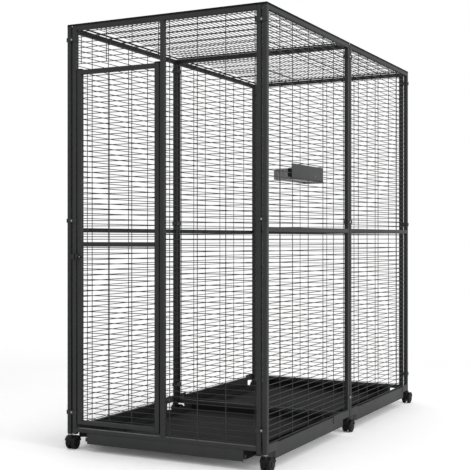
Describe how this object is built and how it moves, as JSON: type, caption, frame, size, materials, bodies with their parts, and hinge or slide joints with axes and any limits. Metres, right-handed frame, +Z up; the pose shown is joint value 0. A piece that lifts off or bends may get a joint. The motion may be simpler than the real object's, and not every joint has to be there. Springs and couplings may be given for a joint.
{
  "type": "indoor parrot aviary",
  "caption": "Tall wheeled parrot aviary of bolted square-tube panels with wire mesh, hinged door, wire roof, pull-out trays and a side feeder.",
  "frame": {"origin": "on the floor under the middle of the overall box", "axes": "+Z up, -Y to the front with the door, +X to the right wall with the feeder"},
  "size_m": [1.012, 1.97, 1.9],
  "materials": {
    "coat": "satin charcoal powder coat",
    "tray": "satin charcoal powder coat",
    "steel": "brushed",
    "plastic": "matte black",
    "tread": "semi-matte black"
  },
  "bodies": {
    "cage": {"apron_end_plates": "coat", "base_cross_tie": "coat", "clamp_back_plates": "coat", "feeder_back": "coat", "feeder_shelf": "coat", "feeder_skirt": "steel", "front_fixed_panel": "coat", "front_left_stile": "coat", "front_sill_rail": "coat", "front_top_rail": "coat", "front_transom_mesh": "coat", "hinge_tabs": "coat", "latch_keeper": "coat", "left_front_apron": "coat", "left_front_panel": "coat", "left_front_runner": "coat", "left_rear_apron": "coat", "left_rear_panel": "coat", "left_rear_runner": "coat", "panel_clamps": "coat", "rear_panel": "coat", "right_front_apron": "coat", "right_front_panel": "coat", "right_front_runner": "coat", "right_rear_apron": "coat", "right_rear_panel": "coat", "right_rear_runner": "coat", "roof_cross_beam": "coat", "roof_front_panel": "coat", "roof_rear_panel": "coat"},
    "door": {"door_panel": "coat", "door_bushes": "plastic", "latch_body": "coat"},
    "latch": {"latch_bolt": "steel"},
    "front_tray": {"front_tray": "tray"},
    "rear_tray": {"rear_tray": "tray"},
    "pan_front": {"feeder_pan_front": "steel"},
    "pan_rear": {"feeder_pan_rear": "steel"},
    "caster_left_front_swivel": {"caster_left_front_housing": "plastic"},
    "caster_left_front_spin": {"caster_left_front_wheels": "tread"},
    "caster_left_middle_swivel": {"caster_left_middle_housing": "plastic"},
    "caster_left_middle_spin": {"caster_left_middle_wheels": "tread"},
    "caster_left_rear_swivel": {"caster_left_rear_housing": "plastic"},
    "caster_left_rear_spin": {"caster_left_rear_wheels": "tread"},
    "caster_right_front_swivel": {"caster_right_front_housing": "plastic"},
    "caster_right_front_spin": {"caster_right_front_wheels": "tread"},
    "caster_right_middle_swivel": {"caster_right_middle_housing": "plastic"},
    "caster_right_middle_spin": {"caster_right_middle_wheels": "tread"},
    "caster_right_rear_swivel": {"caster_right_rear_housing": "plastic"},
    "caster_right_rear_spin": {"caster_right_rear_wheels": "tread"}
  },
  "joints": [
    {"name": "door_hinge", "type": "hinge", "parent": "cage", "child": "door", "pos_m": [-0.026, -0.952, 0.9], "axis": [0, 0, 1], "range_deg": [0, 110]},
    {"name": "latch_slide", "type": "slide", "parent": "door", "child": "latch", "axis": [-1, 0, 0], "range_m": [0, 0.013]},
    {"name": "front_tray_slide", "type": "slide", "parent": "cage", "child": "front_tray", "axis": [0, -1, 0], "range_m": [0, 0.6]},
    {"name": "rear_tray_slide", "type": "slide", "parent": "cage", "child": "rear_tray", "axis": [0, 1, 0], "range_m": [0, 0.6]},
    {"name": "pan_front_lift", "type": "slide", "parent": "cage", "child": "pan_front", "axis": [0, 0, 1], "range_m": [0, 0.08]},
    {"name": "pan_rear_lift", "type": "slide", "parent": "cage", "child": "pan_rear", "axis": [0, 0, 1], "range_m": [0, 0.08]},
    {"name": "caster_left_front_swivel_joint", "type": "hinge", "parent": "cage", "child": "caster_left_front_swivel", "pos_m": [-0.483, -0.952, 0.072], "axis": [0, 0, 1], "continuous": true},
    {"name": "caster_left_front_spin_joint", "type": "hinge", "parent": "caster_left_front_swivel", "child": "caster_left_front_spin", "pos_m": [-0.483, -0.934, 0.02942], "axis": [1, 0, 0], "continuous": true},
    {"name": "caster_left_middle_swivel_joint", "type": "hinge", "parent": "cage", "child": "caster_left_middle_swivel", "pos_m": [-0.483, -0.023, 0.072], "axis": [0, 0, 1], "continuous": true},
    {"name": "caster_left_middle_spin_joint", "type": "hinge", "parent": "caster_left_middle_swivel", "child": "caster_left_middle_spin", "pos_m": [-0.483, -0.005, 0.02942], "axis": [1, 0, 0], "continuous": true},
    {"name": "caster_left_rear_swivel_joint", "type": "hinge", "parent": "cage", "child": "caster_left_rear_swivel", "pos_m": [-0.483, 0.934, 0.072], "axis": [0, 0, 1], "continuous": true},
    {"name": "caster_left_rear_spin_joint", "type": "hinge", "parent": "caster_left_rear_swivel", "child": "caster_left_rear_spin", "pos_m": [-0.483, 0.952, 0.02942], "axis": [1, 0, 0], "continuous": true},
    {"name": "caster_right_front_swivel_joint", "type": "hinge", "parent": "cage", "child": "caster_right_front_swivel", "pos_m": [0.483, -0.952, 0.072], "axis": [0, 0, 1], "continuous": true},
    {"name": "caster_right_front_spin_joint", "type": "hinge", "parent": "caster_right_front_swivel", "child": "caster_right_front_spin", "pos_m": [0.483, -0.934, 0.02942], "axis": [1, 0, 0], "continuous": true},
    {"name": "caster_right_middle_swivel_joint", "type": "hinge", "parent": "cage", "child": "caster_right_middle_swivel", "pos_m": [0.483, -0.023, 0.072], "axis": [0, 0, 1], "continuous": true},
    {"name": "caster_right_middle_spin_joint", "type": "hinge", "parent": "caster_right_middle_swivel", "child": "caster_right_middle_spin", "pos_m": [0.483, -0.005, 0.02942], "axis": [1, 0, 0], "continuous": true},
    {"name": "caster_right_rear_swivel_joint", "type": "hinge", "parent": "cage", "child": "caster_right_rear_swivel", "pos_m": [0.483, 0.934, 0.072], "axis": [0, 0, 1], "continuous": true},
    {"name": "caster_right_rear_spin_joint", "type": "hinge", "parent": "caster_right_rear_swivel", "child": "caster_right_rear_spin", "pos_m": [0.483, 0.952, 0.02942], "axis": [1, 0, 0], "continuous": true}
  ]
}
